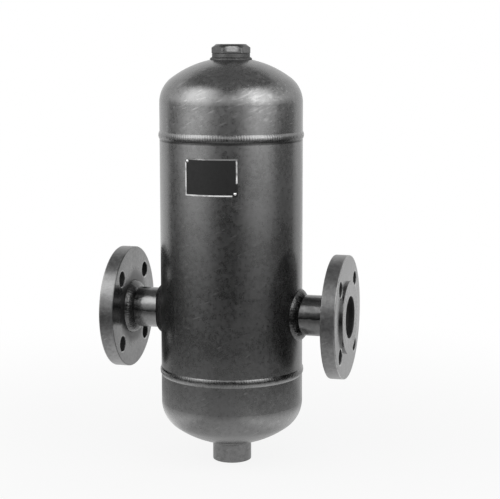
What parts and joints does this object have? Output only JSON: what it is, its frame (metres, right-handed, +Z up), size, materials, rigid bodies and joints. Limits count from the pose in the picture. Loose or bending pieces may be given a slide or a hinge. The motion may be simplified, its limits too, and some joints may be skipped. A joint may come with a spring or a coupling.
{
  "type": "steam separator",
  "caption": "Upright welded baffle steam separator: pipe shell with dished heads, flanged inlet and outlet nozzles in line, plugged vent socket on top and threaded drain socket below.",
  "frame": {"origin": "middle of the drain socket's end face, on the vessel's axis", "axes": "+Z up along the vessel's axis, +X from the inlet to the outlet along the flow, -Y to the front with the name plate"},
  "size_m": [0.2884, 0.1712, 0.4965],
  "materials": {
    "vessel_paint": "dark grey semi-gloss paint",
    "weld_paint": "dark grey paint over weld beads",
    "baffle_steel": "bare mill plate",
    "plate_black": "black field with a bright rim",
    "rivet_metal": "bright"
  },
  "bodies": {
    "root": {"shell": "vessel_paint", "top_head": "vessel_paint", "bottom_head": "vessel_paint", "inlet_pipe": "vessel_paint", "outlet_pipe": "vessel_paint", "inlet_flange": "vessel_paint", "outlet_flange": "vessel_paint", "vent_socket": "vessel_paint", "vent_plug": "vessel_paint", "drain_socket": "vessel_paint", "top_seam_weld": "weld_paint", "bottom_seam_weld": "weld_paint", "inlet_saddle_weld": "weld_paint", "outlet_saddle_weld": "weld_paint", "inlet_flange_back_weld": "weld_paint", "outlet_flange_back_weld": "weld_paint", "inlet_flange_face_weld": "weld_paint", "outlet_flange_face_weld": "weld_paint", "vent_socket_weld": "weld_paint", "drain_socket_weld": "weld_paint", "inlet_guard_plate": "baffle_steel", "centre_plate": "baffle_steel", "outlet_guard_plate": "baffle_steel", "baffle_weld_beads": "baffle_steel", "name_plate": "plate_black", "name_plate_rivets": "rivet_metal"}
  },
  "joints": []
}
